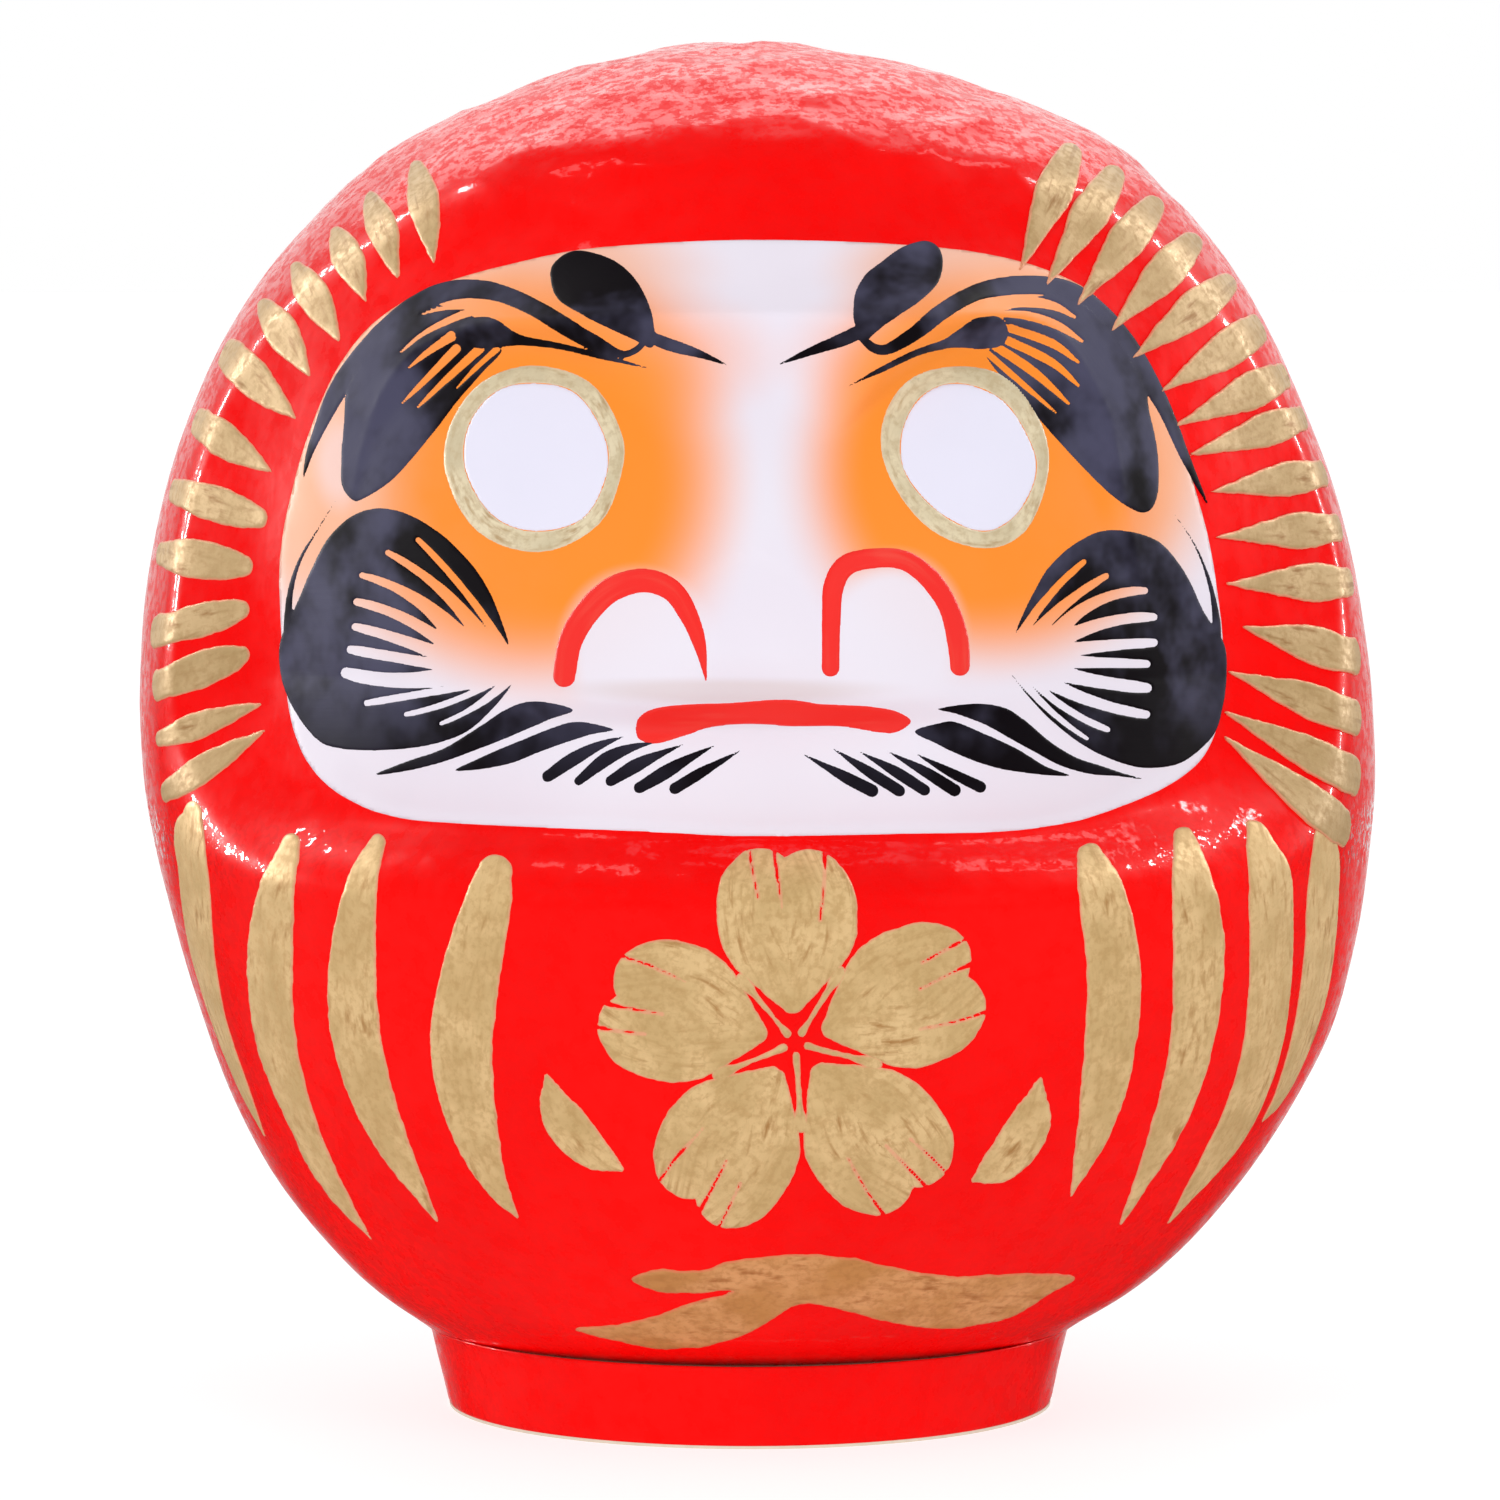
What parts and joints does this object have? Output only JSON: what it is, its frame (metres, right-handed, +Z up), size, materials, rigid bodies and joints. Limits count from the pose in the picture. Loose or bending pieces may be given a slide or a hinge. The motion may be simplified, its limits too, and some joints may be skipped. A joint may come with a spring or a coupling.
{
  "type": "daruma doll",
  "caption": "Round-bellied hooded papier-mache doll on a weighted clay foot, painted with a bearded face and brush-stroke bands.",
  "frame": {"origin": "centre of the foot's underside, on the surface that the doll rests on", "axes": "+Z up, the face looks along -Y, +X to the right of a viewer who faces the doll"},
  "size_m": [0.163, 0.1528, 0.18],
  "materials": {
    "red_lacquer": "glossy red paint over papier-mache, slightly uneven",
    "strip_paint": "pasted paper strip under the same red paint",
    "clay": "dry pressed clay, matt",
    "band_paint": "pasted paper band under the same red paint",
    "underside_paper": "plain undyed paper, matt",
    "face_paint": "satin white paint sprayed towards orange and pink",
    "eye_paint": "satin white paint",
    "black_ink": "satin black brush paint, thick at the strokes' ends",
    "gold_paint": "gold powder paint, satin, brushed on"
  },
  "bodies": {
    "root": {"body_shell": "red_lacquer", "back_seam_strip": "strip_paint", "clay_weight": "clay", "foot_band": "band_paint", "underside_paper": "underside_paper"}
  },
  "joints": []
}
